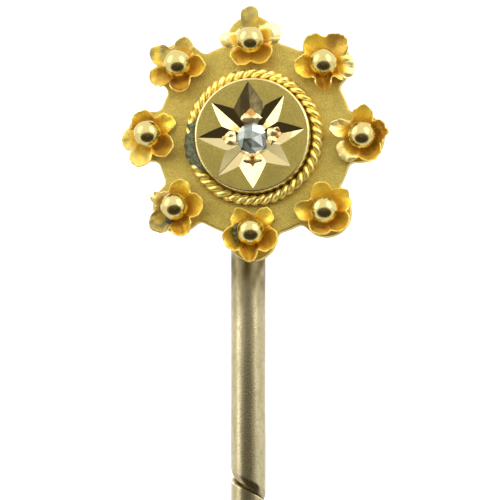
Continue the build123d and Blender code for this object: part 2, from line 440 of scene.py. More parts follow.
def back_plate():
    low, high = head_box("back_plate")
    turn, reach = plate_outline()
    thick = high[2] - low[2]
    # (share of the reach, step in from the edge, height, edge wear)
    rows = [(s, 0, 0, 0) for s in PLATE_FACE]
    rows += [
        (1, 0.075, 0, 0),
        (1, 0.045, -0.004, 0.2),
        (1, 0.02, -0.018, 1),
        (1, 0.004, -0.045, 1),
        (1, 0, -0.09, 0.3),
        (1, 0, -thick / 2, 0),
        (1, 0, 0.09 - thick, 0.2),
        (1, 0.02, 0.03 - thick, 1),
        (1, 0.06, -thick, 0.2),
    ]
    rows += [(s, 0, -thick, 0) for s in (0.9, 0.6, 0.3, 0.02)]
    points = np.array([polar(share * reach - step, turn, height) for share, step, height, _ in rows])
    points[..., 2] -= PLATE_UNEVEN * (0.5 + 0.5 * wobble(points, 0.9, 1))
    points[WAVY_ROWS, :, :2] *= (1 + 0.0015 * wobble(points[WAVY_ROWS], 3.0, 2))[..., None]
    edge = np.array([[row[3]] for row in rows]) * (0.55 + 0.45 * wobble(points, 2.5, 3))
    around = np.hypot(points[..., 0], points[..., 1])
    in_front = points[..., 2] > -0.1
    # painted shade where the rope meets the plate
    soil = bell(around, SOIL_R, SOIL_WIDTH) * (0.55 + 0.45 * wobble(points, 2.2, 4)) * in_front
    piece("plate", to_row(points), capped(len(rows), PLATE_COLUMNS), [MATTE],
          "matte_gold", ["back_plate"], edge=edge, soil=soil)


# ---- boss: wall, star plate and its cut star ----
STAR_X, STAR_Y = -0.02, -0.09  # the star's middle from the boss's middle
# (direction, tip's distance from the star's middle, fall from the tip, its flattening, side slope)
CUTS = (
    (8.1, 1.78, 0.29, 0.07, 0.5),
    (51.8, 1.77, 0.285, 0.075, 0.5),
    (93.3, 1.9, 0.205, 0.022, 0.31),
    (138.2, 1.78, 0.285, 0.07, 0.49),
    (179.5, 1.8, 0.275, 0.055, 0.5),
    (229.2, 1.69, 0.24, 0.04, 0.46),
    (272.1, 1.7, 0.285, 0.06, 0.42),
    (322.8, 1.64, 0.3, 0.06, 0.5),
)
CUT_BACK = -0.2  # each cut runs this far past the star's middle
FARTHEST_TIP = 1.95
SEAT_SHARE = 0.97  # the hole in the plate, as a share of the stone
LEAST_RIM = 0.012  # flat left outside a ray's tip
CUT_RINGS, FLAT_RINGS, SPOKES = 14, 8, 12
UNDERSIDE = 0.02
# parts of the star, by distance from its middle or by direction
DIRTY_R, DIRT_FADE = 0.86, 0.2
STAIN_R, STAIN_WIDTH = 0.6, 0.06
SHADE_R, SHADE_WIDTH = 0.575, 0.045
WORN_SIDES = ((206, 229), (323.2, 347))
DULL_HALF_WIDTH, DULL_FROM = 0.42, 0.6


def cut_depth(x, y):
    """Depth of the star's cuts at points measured from the star's middle."""
    depth = np.zeros_like(x)
    for direction, tip, fall, flatten, side in CUTS:
        a = math.radians(direction)
        along = x * math.cos(a) + y * math.sin(a)
        across = np.abs(y * math.cos(a) - x * math.sin(a))
        back = np.clip(tip - along, 0, None)
        valley = fall * back - flatten * back ** 2
        depth = np.maximum(depth, np.where(along > CUT_BACK, valley - side * across, 0))
    return depth


def cut_edge(angle):
    """How far from the star's middle the cuts reach in a direction."""
    away = np.linspace(0.5, FARTHEST_TIP, 1200)
    deep = cut_depth(away * math.cos(angle), away * math.sin(angle)) > 1e-6
    return away[deep].max() if deep.any() else 0.5


def star_columns():
    """Directions for the star's mesh: each cut's valley, the ridge between cuts, and even steps between."""
    marks = []
    for (a, *_), (b, *_) in zip(CUTS, CUTS[1:] + CUTS[:1]):
        first, second = math.radians(a), math.radians(b if b > a else b + 360)
        ridge = min(np.linspace(first, second, 120)[1:-1], key=cut_edge)
        marks += [first, ridge]
    marks.append(marks[0] + 2 * math.pi)
    return np.concatenate([np.linspace(p, q, SPOKES, endpoint=False) for p, q in zip(marks, marks[1:])])


def disc_reach(turn, radius):
    """Distance from the star's middle to a circle about the boss's middle."""
    along = -(STAR_X * np.cos(turn) + STAR_Y * np.sin(turn))
    return along + np.sqrt(radius ** 2 - (STAR_X ** 2 + STAR_Y ** 2) + along ** 2)


def star_plate():
    low, high = head_box("star_plate")
    seat = SEAT_SHARE * radius_of("stone")
    turn = star_columns()
    rim = disc_reach(turn, radius_of("star_plate"))
    edge = np.minimum(np.array([cut_edge(t) for t in turn]), rim - LEAST_RIM)
    radii = [seat + (edge - seat) * s for s in np.linspace(0, 1, CUT_RINGS)]
    radii += [edge + (rim - edge) * s for s in np.linspace(0, 1, FLAT_RINGS)[1:]]
    radii = np.array(radii)
    x, y = radii * np.cos(turn), radii * np.sin(turn)
    points = np.stack((x + STAR_X, y + STAR_Y, high[2] - cut_depth(x, y)), -1)
    points[..., 2] -= 0.004 * (0.5 + 0.5 * wobble(points, 1.2, 11))
    # the hole for the stone and the plate's hidden side close the piece
    hole = points[:1].copy()
    side = points[-1:].copy()
    hole[..., 2] = side[..., 2] = low[2] + UNDERSIDE
    points = np.concatenate((hole, points, side))
    rows, columns = len(points), len(turn)
    faces = looped(rows, columns)
    materials = [int(f // columns < CUT_RINGS) for f in range(len(faces))]
    right, up = points[..., 0] - STAR_X, points[..., 1] - STAR_Y
    around = np.hypot(right, up)
    # dirt with painted shade, darker towards the stone, and a painted shadow ring round its upper side at
    # the seat
    soil = clamp((DIRTY_R - around) / DIRT_FADE) * clamp(0.15 + 1.1 * wobble(points, 5, 12))
    soil += 0.5 * bell(around, STAIN_R, STAIN_WIDTH) * (up > -0.2)
    # painted shade: the cut at the top is painted darker, and a dark ring round the stone paints the shadow
    # at its seat
    dim = clamp((DULL_HALF_WIDTH - np.abs(right)) / 0.06) * (up > DULL_FROM)
    dim = dim * clamp(0.75 + 0.5 * wobble(points, 3, 13))
    dim += bell(around, SHADE_R, SHADE_WIDTH)
    # one side of the cuts at lower left and lower right has lost its polish
    bearing = np.degrees(np.arctan2(up, right)) % 360
    worn = sum((bearing > first) & (bearing < last) for first, last in WORN_SIDES)
    worn = worn * clamp(0.85 + 0.4 * wobble(points, 2, 14))
    piece("star", to_row(points), faces, [SATIN, CUT], "satin_gold", ["star_plate"],
          face_materials=materials, crease=12, soil=soil, dim=dim, worn=worn)


def boss_wall():
    foot = head_box("boss_wall")[0][2]
    level = head_box("star_plate")[1][2]
    outer, inner = radius_of("boss_wall"), radius_of("star_plate") + 0.002
    # (radius, height, satin, painted shade with dirt)
    profile = np.array([
        (inner, foot, 0, 0),
        (inner, level - 0.12, 0, 0),
        (inner, level - 0.004, 0.3, 0),
        (outer - 0.056, level - 0.005, 0, 0),
        (outer - 0.036, level - 0.014, 0, 0),
        (outer - 0.018, level - 0.033, 0, 0),
        (outer - 0.005, level - 0.06, 0, 0),
        (outer, level - 0.1, 0, 0),
        (outer, level - 0.2, 0, 0.1),
        (outer - 0.004, 0.35, 0, 0.3),
        (outer, 0.22, 0, 0.6),
        (outer + 0.01, 0.05, 0, 0.8),
        (outer, foot, 0, 0.8),
    ])
    columns = 480
    points = revolve(profile[:, :2], columns)
    # the longest rays run out into the rim
    sunk = cut_depth(points[..., 0] - STAR_X, points[..., 1] - STAR_Y)
    sunk[points[..., 2] < level - 0.01] = 0
    points[..., 2] -= sunk
    points *= 1 + 0.0012 * wobble(points, 1.5, 21)[..., None]
    # painted shade: the outer wall darkens towards its foot, behind the rope
    soil = profile[:, 3:] * (0.6 + 0.4 * wobble(points, 3, 22))
    satin = np.broadcast_to(profile[:, 2:3], soil.shape)
    piece("boss", to_row(points), looped(len(profile), columns), [RIM], "rim_gold",
          ["boss_wall"], crease=40, satin=satin, soil=soil)


# direction, then each curl's (distance out, shift anticlockwise, radius, height, dirt and painted shade)
GRAINS = (
    (92, (
        (0.67, -0.22, 0.15, 0.11, 0),
        (0.7, 0, 0.16, 0.11, 0),
        (0.67, 0.21, 0.15, 0.12, 0),
        (0.88, 0, 0.14, 0.04, 1.8),
    )),
    (6, (
        (0.71, -0.15, 0.15, 0.13, 0.1),
        (0.7, 0.12, 0.16, 0.14, 0),
        (0.86, 0.2, 0.1, 0.12, 0.5),
        (0.88, -0.02, 0.1, 0.05, 1),
    )),
    (272, (
        (0.72, -0.25, 0.15, 0.13, 0),
        (0.72, 0.26, 0.15, 0.13, 0),
        (0.74, 0, 0.17, 0.03, 1.2),
        (0.6, 0, 0.12, 0.06, 0.3),
    )),
    (181, (
        (0.71, 0.08, 0.17, 0.14, 0),
        (0.69, -0.16, 0.14, 0.11, 0.1),
        (0.9, -0.02, 0.1, 0.04, 1),
    )),
)
GRAIN_FOOT = 0.585  # just under the cuts' feet
GRAIN_SKIRT = -0.06  # a patch's hidden rim, under its foot
PATCH_OUT, PATCH_HALF_LONG, PATCH_HALF_WIDE = 0.76, 0.24, 0.42
PATCH_RINGS, PATCH_COLUMNS = 26, 64


def grain_height(u, v, curls):
    """Height, and dirt with painted shade, of a patch of curls, u out and v anticlockwise from the star's
    middle.
    """
    near = [math.exp(-((u - x) ** 2 + (v - y) ** 2) / r ** 2) for x, y, r, _, _ in curls]
    bumps = [k * curl[3] for k, curl in zip(near, curls)]
    # dirt and painted shade, darkest in the hollows between curls
    dirt = sum(k * curl[4] for k, curl in zip(near, curls)) + max(0.0, 0.6 - max(near))
    return max(bumps) + 0.3 * (sum(bumps) - max(bumps)), dirt


def grains():
    """Curls of metal raised at the feet of four cuts and pushed over the stone's edge."""
    points, faces, soil = [], [], []
    for n, (direction, curls) in enumerate(GRAINS):
        a = math.radians(direction)
        out = np.array((math.cos(a), math.sin(a), 0))
        side = np.array((-math.sin(a), math.cos(a), 0))
        start = len(points)
        for i in range(PATCH_RINGS + 2):
            share = min(1.0, (i + 0.1) / PATCH_RINGS)
            for j in range(PATCH_COLUMNS):
                t = 2 * math.pi * j / PATCH_COLUMNS
                u = PATCH_OUT + PATCH_HALF_LONG * share * math.cos(t)
                v = PATCH_HALF_WIDE * share * math.sin(t)
                wander = 0.05 * noise.noise(Vector((u * 5 + 5 * n, v * 5, 0)))
                height, dirt = grain_height(u + wander, v + wander, curls)
                if i > PATCH_RINGS:
                    height = GRAIN_SKIRT
                points.append(np.array((STAR_X, STAR_Y, GRAIN_FOOT + height)) + out * u + side * v)
                soil.append(dirt)
        faces += [tuple(start + i for i in f) for f in capped(PATCH_RINGS + 2, PATCH_COLUMNS)]
    piece("grains", to_row(points), faces, [GRAIN], "satin_gold", soil=soil)


# ---- stone ----
def stone_material():
    f = Finish("stone", (0.26, 0.29, 0.26), 0.14, metallic=0.4)
    # painted reflections: the light and dark marks make each facet light or dark
    f.blend("light", (0.84, 0.89, 0.87))
    f.blend("dark", (0.06, 0.068, 0.05))
    f.blend(f.noise(6, 0.5, 0.6, detail=2), (0.42, 0.44, 0.34), amount=0.3)
    return f.done()


# crown points (x, y, height share), x and y in shares of the stone's radius
CROWN = (
    (0.06, 0.42, 1.0),
    (0.04, -0.06, 1.0),
    (-0.42, 0.48, 0.8),
    (-0.5, -0.04, 0.84),
    (0.6, 0.22, 0.78),
    (0.72, -0.58, 0.48),
    (-0.02, -0.62, 0.62),
    (-0.58, -0.5, 0.55),
)
GIRDLE = (88, 52, 24, -8, -40, -72, -104, -136, -170, 160, 124)
# (corners, how light its painted reflection is), 0 to 7 being crown points and the rest girdle points
FACETS = (
    ((0, 4, 10, 9, 8), 1.0),
    ((0, 2, 3, 1), -0.3),
    ((0, 1, 4), 0.1),
    ((1, 5, 4), 0.9),
    ((4, 5, 11, 10), -0.6),
    ((5, 12, 11), 0.3),
    ((1, 6, 5), -0.4),
    ((6, 13, 12, 5), 0.5),
    ((1, 3, 7, 6), -0.85),
    ((6, 7, 14, 13), -0.5),
    ((7, 15, 14), -0.85),
    ((3, 16, 15, 7), -0.2),
    ((2, 17, 16, 3), 0.15),
    ((2, 18, 17), 0.4),
    ((0, 8, 18, 2), -0.1),
)
STONE_GROWTH = 1.05  # the stone laps over its seat
STONE_SUNK = 0.07  # its back is this far above the CAD stone's
GIRDLE_HEIGHT = 0.3  # share of its height
BACK_SHARE = 0.97


def stone():
    """Old-cut stone: an uneven crown of facets, a girdle and a flat back."""
    low, high = head_box("stone")
    radius = STONE_GROWTH * radius_of("stone")
    base = low[2] + STONE_SUNK
    rise = high[2] - base
    corners = [(x * radius, y * radius, base + rise * h) for x, y, h in CROWN]
    around = [math.radians(a) for a in GIRDLE]
    for share, z in ((1.0, base + GIRDLE_HEIGHT * rise), (BACK_SHARE, base)):
        corners += [(share * radius * math.cos(a), share * radius * math.sin(a), z) for a in around]
    first, count = len(CROWN), len(GIRDLE)
    faces = list(FACETS)
    for i in range(count):
        j = (i + 1) % count
        faces.append(((first + i, first + j, first + count + j, first + count + i), -1.0))
    faces.append((tuple(first + count + i for i in range(count)), -0.5))
    # each facet has its own corners, so that its painted reflection can be lighter or darker than its
    # neighbours'
    points, split, light, dark = [], [], [], []
    for face, shade in faces:
        split.append(tuple(range(len(points), len(points) + len(face))))
        for c in face:
            points.append(np.array(corners[c]) + np.array((STAR_X, STAR_Y, 0)))
            light.append(max(0.0, shade))
            dark.append(max(0.0, -shade))
    obj = piece("stone_cut", to_row(points), split, [stone_material()], "stone", ["stone"],
                light=light, dark=dark)
    obj.data.polygons.foreach_set("use_smooth", [False] * len(obj.data.polygons))


# ---- rope ----
ROPE_TWISTS = 22
ROPE_JOIN, ROPE_SPAN = 249, 359.2  # where its ends meet, and how far round it goes
ROPE_STEPS, ROPE_SIDES = 900, 14
STRAND_FIT = 0.99  # a strand's winding, as a share of the CAD rope's
END_TAPER = (0.7, 0.88, 0.97)
RESIDUE_FROM, RESIDUE_TO = 158, 218  # directions between which the grey-green deposit lies
RESIDUE_FADE = 34


def rope():
    low, high = head_box("rope_strand_a")
    strand = (high[2] - low[2]) / 4 * STRAND_FIT
    middle_r, middle_z = radius_of("rope_strand_a") - 2 * strand, (low[2] + high[2]) / 2
    taper = len(END_TAPER)
    for name, start in (("a", 45), ("b", 225)):
        share = np.linspace(0, 1, ROPE_STEPS)
        turn = np.radians(ROPE_JOIN + ROPE_SPAN * share)
        lay = np.radians(start + 360 * ROPE_TWISTS * share)
        # the twist is uneven and the rope wanders a little
        lay = lay + 0.3 * np.sin(5 * turn + 1) + 0.18 * np.sin(11 * turn)
        loose = 0.01 * np.sin(3 * turn + 2) + 0.006 * np.sin(8 * turn)
        r = middle_r + strand * np.cos(lay) + loose
        z = middle_z + strand * np.sin(lay)
        radii = strand * (1.06 + 0.04 * np.sin(17 * turn + start))
        radii[:taper] *= END_TAPER
        radii[-taper:] *= END_TAPER[::-1]
        points, ring = tube(polar(r, turn, z), radii, ROPE_SIDES, polar(1, turn, 0))
        # painted shade, with dirt: darker on the strands' sides that face each other and at the rope's foot
        towards = polar(np.cos(lay), turn, np.sin(lay))
        facing = (ring * towards[:, None]).sum(-1)
        soil = clamp(-facing * 1.4 - 0.4)
        soil = np.maximum(soil, clamp((middle_z - 0.08 - points[..., 2]) / 0.12) * 0.7)
        middle = (RESIDUE_FROM + RESIDUE_TO) / 2
        spread = clamp(1 - np.abs(np.degrees(turn) % 360 - middle) / RESIDUE_FADE)[:, None]
        inward = clamp((middle_r + 0.02 - np.hypot(points[..., 0], points[..., 1])) / 0.12)
        residue = clamp(spread * 3) * inward * (0.7 + 0.5 * wobble(points, 4, 31))
        piece(f"rope_{name}", to_row(points), capped(ROPE_STEPS, ROPE_SIDES), [ROPE],
              "rope_gold", [f"rope_strand_{name}"], soil=soil, residue=residue)


CRUST_STEPS = 90
CRUST_FOOT = 0.02  # height of its hidden underside
CRUST_ACROSS = (0, 0, 0.25, 0.6, 0.9, 1, 1)


def crust(name, middle, radius, first, last, wide, tall, slot, seed):
    """Old grey-green polish and verdigris caught in a corner: an uneven arc about a middle."""
    share = np.linspace(0, 1, CRUST_STEPS)
    turn = np.radians(first + (last - first) * share)
    full = np.sin(math.pi * share) ** 0.5
    rough = np.array([noise.noise(Vector((s * 9, seed, 0))) for s in share])
    across = wide * (0.08 + full * (1 + 0.45 * rough))
    up = tall * (0.2 + full * (0.85 + 0.35 * rough))
    foot = np.full_like(up, CRUST_FOOT)
    reach = radius + np.multiply.outer(across, CRUST_ACROSS)
    heights = np.stack((foot, up, up * 1.02, up * 0.9, up * 0.6, up * 0.2, foot), 1)
    points = polar(reach, turn[:, None], heights)
    points[..., 2] += 0.05 * tall * wobble(points, 9, seed)
    points[..., :2] *= (1 + 0.012 * wobble(points, 7, seed + 1) / max(radius, 1))[..., None]
    points += (middle[0], middle[1], 0)
    piece(name, to_row(points), capped(CRUST_STEPS, len(CRUST_ACROSS)), [RESIDUE], slot)


# ---- flowers and beads ----
# petals: (direction, reach, petal radius, lift, change of slope at the tip, cup,
#          crumple, tarnish, painted highlight, painted shade)
FLOWERS = {
    "north": (
        (93, 1.16, 0.32, 12, -4, 0.03, 0.6, 1, 0, 0),
        (172, 1.08, 0.27, 20, -150, 0, 0.3, 0, 1, 0),
        (237, 0.95, 0.42, 38, 4, 0.22, 0.4, 0, 0, 0.6),
        (309, 0.93, 0.44, 40, 6, 0.18, 0.4, 0, 0, 0.3),
        (24, 1.06, 0.36, 26, -140, 0, 0.5, 0, 1, 0),
    ),
    "north_east": (
        (115, 1.06, 0.42, 30, -4, 0.05, 0.4, 0, 0, 0),
        (58, 1.1, 0.46, 20, -4, 0.05, 1.3, 0.7, 0, 0.7),
        (-9, 1.02, 0.46, 24, -60, 0.04, 1.2, 0, 0.6, 0),
        (-88, 0.95, 0.27, 30, -6, 0.6, 0.4, 0, 0, 0.6),
        (190, 0.97, 0.4, 34, -4, 0.14, 0.6, 0, 0, 0.2),
    ),
    "east": (
        (88, 1.02, 0.34, 34, -4, 0.1, 0.6, 0, 0, 0.1),
        (160, 1.06, 0.36, 36, -12, 0.1, 1.5, 0.1, 0.7, 0.1),
        (224, 1.03, 0.42, 36, -70, 0.05, 0.6, 0, 0.6, 0),
        (295, 0.94, 0.4, 38, 2, 0.2, 0.6, 0, 0, 0.6),
        (12, 0.86, 0.4, 44, 10, 0.1, 1.8, 0, 0, 0.7),
    ),
    "south_east": (
        (101, 0.94, 0.38, 28, -8, 0.08, 0.5, 0, 0, 0),
        (33, 0.98, 0.44, 28, -4, 0.08, 0.6, 0, 0, 0),
        (-38, 0.95, 0.4, 40, 2, 0.2, 0.5, 0, 0, 0.4),
        (254, 0.86, 0.42, 36, 10, 0.12, 0.8, 0, 0.1, 0.5),
        (181, 1, 0.34, 26, -12, 0.16, 0.4, 0, 0.2, 0),
    ),
    "south": (
        (126, 0.91, 0.34, 32, -6, 0.12, 0.6, 0, 0.1, 0),
        (50, 1, 0.32, 22, -30, 0.1, 0.8, 0, 0.1, 0),
        (-25, 0.96, 0.44, 38, 4, 0.14, 0.6, 0, 0, 0.3),
        (268, 1, 0.3, 34, -6, 0.55, 0.4, 0, 0, 0.5),
        (202, 0.96, 0.44, 38, 4, 0.14, 0.6, 0, 0, 0.3),
    ),
    "south_west": (
        (74, 0.97, 0.36, 32, -6, 0.1, 0.8, 0, 0, 0.1),
        (5, 0.96, 0.42, 36, 0, 0.14, 0.5, 0, 0, 0.1),
        (-70, 1.04, 0.36, 38, 0, 0.38, 0.7, 0, 0, 0.5),
        (223, 1.07, 0.4, 12, -4, 0.03, 0.8, 1.1, 0, 0.1),
        (150, 0.86, 0.22, 50, -14, 0, 2, 0, 1, 0),
    ),
    "west": (
        (112, 0.84, 0.36, 38, 0, 0.1, 0.6, 0, 0, 0.4),
        (34, 1.01, 0.34, 24, -34, 0.1, 0.9, 0, 0, 0),
        (-38, 1.02, 0.42, 38, 2, 0.16, 0.6, 0, 0, 0.7),
        (250, 1.13, 0.38, 20, -4, 0.03, 0.5, 0.45, 0.3, 0),
        (193, 0.93, 0.4, 14, -10, 0.03, 0.5, 0.6, 0.3, 0),
    ),
    "north_west": (
        (149, 1.07, 0.36, 10, -4, 0.03, 0.5, 1, 0, 0),
        (72, 0.97, 0.32, 22, -16, 0.05, 0.6, 0.7, 0.2, 0),
        (-8, 0.93, 0.38, 32, 6, 0.18, 0.5, 0, 0, 0.1),
        (-80, 1, 0.36, 42, 2, 0.38, 0.5, 0, 0, 1),
        (214, 1.09, 0.36, 30, -10, 0.16, 0.9, 0.6, 0, 0.6),
    ),
}
FLOWER_COLUMNS, FLOWER_RINGS = 180, 20
SHEET = 0.04  # thickness of the petal sheet
BASE, BASE_BEND = 0.27, 0.2  # flat middle of a flower, and how far out the petals' bend goes
CURL_FROM, CURL_OVER = 0.68, 0.32  # shares of the reach in which the tip bends
FLATTEST, STEEPEST = -40, 72  # limits of a petal's slope
NOTCH = 0.62  # reach between the petals
PETAL_WIDE = 31  # degrees either side in which a petal is felt
LOBE_R, LOBE_LOW = 0.86, -0.18  # petals stay above the plate, and hang no lower than this past it
BURR_OUT, BURR_HALF = 0.006, 0.01  # burr along the sheet's cut edge


def off_by(turn, direction):
    """Angle from a direction, between minus and plus half a turn."""
    return (turn - direction + math.pi) % (2 * math.pi) - math.pi


def petal_shares(turn, petals):
    """How much of each petal is felt in each direction."""
    off = np.array([off_by(turn, math.radians(direction)) for direction, *_ in petals])
    weights = np.exp(-(np.abs(off) / math.radians(PETAL_WIDE)) ** 3.4) + 1e-9
    return weights / weights.sum(0)


def flower_outline(turn, petals):
    """A flower's reach in each direction: five rounded petals with shallow notches between."""
    reach = np.full_like(turn, NOTCH)
    for direction, far, width, *_ in petals:
        off = off_by(turn, math.radians(direction))
        centre = far - width
        inside = width ** 2 - (centre * np.sin(off)) ** 2
        lobe = centre * np.cos(off) + np.sqrt(np.maximum(inside, 0))
        reach = np.maximum(reach, np.where((inside > 0) & (np.abs(off) < 1.4), lobe, 0))
    kernel = np.array((1, 2, 3, 2, 1)) / 9
    return np.convolve(np.concatenate((reach[-2:], reach, reach[:2])), kernel, "valid")


def bead_place(name):
    low, high = head_box("bead_" + name)
    return (low + high) / 2, radius_of("bead_" + name)


def flower(name, petals, seed):
    """Five petals of one sheet, each with its own lift, curl, crumple and colour."""
    middle, _ = bead_place(name)
    turn = full_turn(FLOWER_COLUMNS)
    reach = flower_outline(turn, petals)
    shares = petal_shares(turn, petals)
    felt = [(shares * np.array([p[k] for p in petals])[:, None]).sum(0) for k in range(3, 10)]
    lift, tip, cup, crumple, tarnish, pale, brown = felt
    circle = polar(1, turn, 0)
    uneven = wobble(circle, 4.0, seed + 20) + 0.5 * wobble(circle, 9.0, seed + 21)
    reach = reach * (1 + (0.03 + 0.055 * crumple) * uneven)
    t = np.linspace(0.03, 1, FLOWER_RINGS)[:, None] ** 0.9
    r = t * reach[None]
    outer = clamp((r - 0.38) / 0.3)
    # the lift and the bent tip, as a slope that is summed from the middle out
    bend = clamp((r - BASE) / BASE_BEND)
    curl = clamp((t - CURL_FROM) / CURL_OVER)
    slope = np.tan(np.radians(np.clip(lift * bend + tip * curl, FLATTEST, STEEPEST)))
    z = np.zeros_like(r)
    z[1:] = np.cumsum((slope[1:] + slope[:-1]) / 2 * np.diff(r, axis=0), axis=0)
    # the cup across each petal
    nearest = np.argmax(shares, axis=0)
    direction = np.radians(np.array([p[0] for p in petals]))[nearest]
    width = np.array([p[2] for p in petals])[nearest]
    across = np.abs(r * np.sin(off_by(turn, direction))) / width
    z += cup * np.minimum(across, 1.1) ** 2 * outer
    # the crumples
    flat = polar(r, turn, 0)
    ruck = wobble(flat, 2.2, seed) + 0.35 * wobble(flat, 5.0, seed + 40)
    z += 0.065 * crumple * ruck * clamp((r - 0.36) / 0.4)
    sway = 0.035 * crumple * wobble(flat, 4.0, seed + 80) * clamp((r - 0.5) / 0.4)
    z = np.maximum(z, np.where(r > LOBE_R, LOBE_LOW, 0)) + SHEET / 2
    # the sheet's two faces, joined by a thin burr
    surface = polar(r, turn + sway, z)
    around = np.roll(surface, -1, 1) - np.roll(surface, 1, 1)
    outward = np.gradient(surface, axis=0)
    normal = np.cross(outward, around)
    normal /= np.maximum(np.linalg.norm(normal, axis=-1, keepdims=True), 1e-9)
    upper, lower = surface + normal * SHEET / 2, (surface - normal * SHEET / 2)[::-1]
    edge = surface[-1] + outward[-1] / np.linalg.norm(outward[-1], axis=-1, keepdims=True) * BURR_OUT
    burr, lip = edge + normal[-1] * BURR_HALF, edge - normal[-1] * BURR_HALF
    points = np.concatenate((upper, burr[None], lip[None], lower))
    points += (middle[0], middle[1], 0)

    def both(top, ends=0.0):
        return np.concatenate((top, np.full((2, FLOWER_COLUMNS), ends), top[::-1]))

    # painted shade: the cup is a deeper orange towards the ball
    deep = clamp((0.74 - r) / 0.34) * clamp(0.75 + 0.6 * wobble(flat, 4, seed + 5))
    # the sheet's cut edge: a smoother burr, painted lighter as a highlight
    rim = clamp((t - 0.975) / 0.025) * clamp(0.35 + 1.2 * wobble(flat, 3, seed + 7))
    patches = clamp(0.7 + 0.9 * wobble(flat, 3.5, seed + 9))
    dull = tarnish * outer * patches
    # painted highlight: the listed tabs are painted whiter towards their tips
    light = pale * clamp((t - 0.55) / 0.3)
    # painted shade: listed petals, mostly the lower ones below the ball, are painted browner
    piece("petals_" + name, to_row(points), capped(len(points), FLOWER_COLUMNS), [PETAL],
          "petal_gold", ["flower_" + name], deep=both(deep), rim=both(rim, 0.5), tarnish=both(dull),
          pale=both(light), brown=both(brown * patches * clamp((r - 0.3) / 0.3)))


BEAD_COLUMNS = 72
BEAD_GROWTH = 0.055  # the CAD ball is this share smaller
SOLDER = ((0.02, 0), (0.2, 0), (0.255, 0.01), (0.262, 0.03))  # (radius, height) under a ball


def bead(name, seed):
    """A ball on a small collar of solder."""
    middle, radius = bead_place(name)
    low, high = head_box("bead_" + name)
    centre_z = high[2] - radius
    rows = [(r, low[2] + z) for r, z in SOLDER]
    for a in np.linspace(math.radians(37), math.pi - 0.02, 40):
        rows.append((radius * math.sin(a), centre_z - radius * math.cos(a)))
    points = revolve(rows, BEAD_COLUMNS)
    local = points - np.array((0, 0, centre_z))
    points = points + local * (BEAD_GROWTH + 0.007 * wobble(local, 1.7, seed))[..., None]
    points[:len(SOLDER), :, 2] = low[2] + np.array(SOLDER)[:, 1:]
    # painted shade: the ball darkens towards its bottom, where it sits in the petals
    soil = clamp((centre_z - 0.24 - points[..., 2]) / 0.12)
    points += (middle[0], middle[1], 0)
    piece("ball_" + name, to_row(points), capped(len(rows), BEAD_COLUMNS), [BEAD],
          "bead_gold", ["bead_" + name], soil=soil)


# ---- stem and its foot ----
SPIRAL_TOP, SPIRAL_PITCH, SPIRAL_TURNS = -3.45, 1.65, 6
SPIRAL_END = SPIRAL_TOP - SPIRAL_PITCH * SPIRAL_TURNS
GROOVE_DEPTH, GROOVE_WALL, GROOVE_SLOPE = 0.14, 17, 74  # wall and slope in degrees round the wire
POINT_LENGTH = 12.0
POINT_R = 0.04  # radius of the rounded tip, and its height
POINT_LEVELS = (0.0, 0.004, 0.015, 0.04, 0.1, 0.3, 0.8, 2, 3.5, 5, 6.5, 8, 9.5, 10.8, 11.6)
STEM_GROWTH, FOOT_GROWTH = 0.014, -0.008  # so that dents leave the mean radius as in the CAD


def groove_steps():
    """Degrees round the wire from the groove's sharp edge, closest together in the groove."""
    far = GROOVE_WALL + GROOVE_SLOPE
    return np.array([
        0, *np.linspace(1, 7, 4), *np.linspace(9, GROOVE_WALL, 5),
        *np.linspace(GROOVE_WALL + 5, far, 14), *np.linspace(far + 4, 356, 56)])


def wire_radius(above_tip, radius):
    if above_tip < POINT_R:
        return POINT_R * math.sqrt(max(0.02, 1 - (1 - above_tip / POINT_R) ** 2))
    return radius * min(1, (above_tip + 0.03) / POINT_LENGTH) if above_tip < POINT_LENGTH else radius


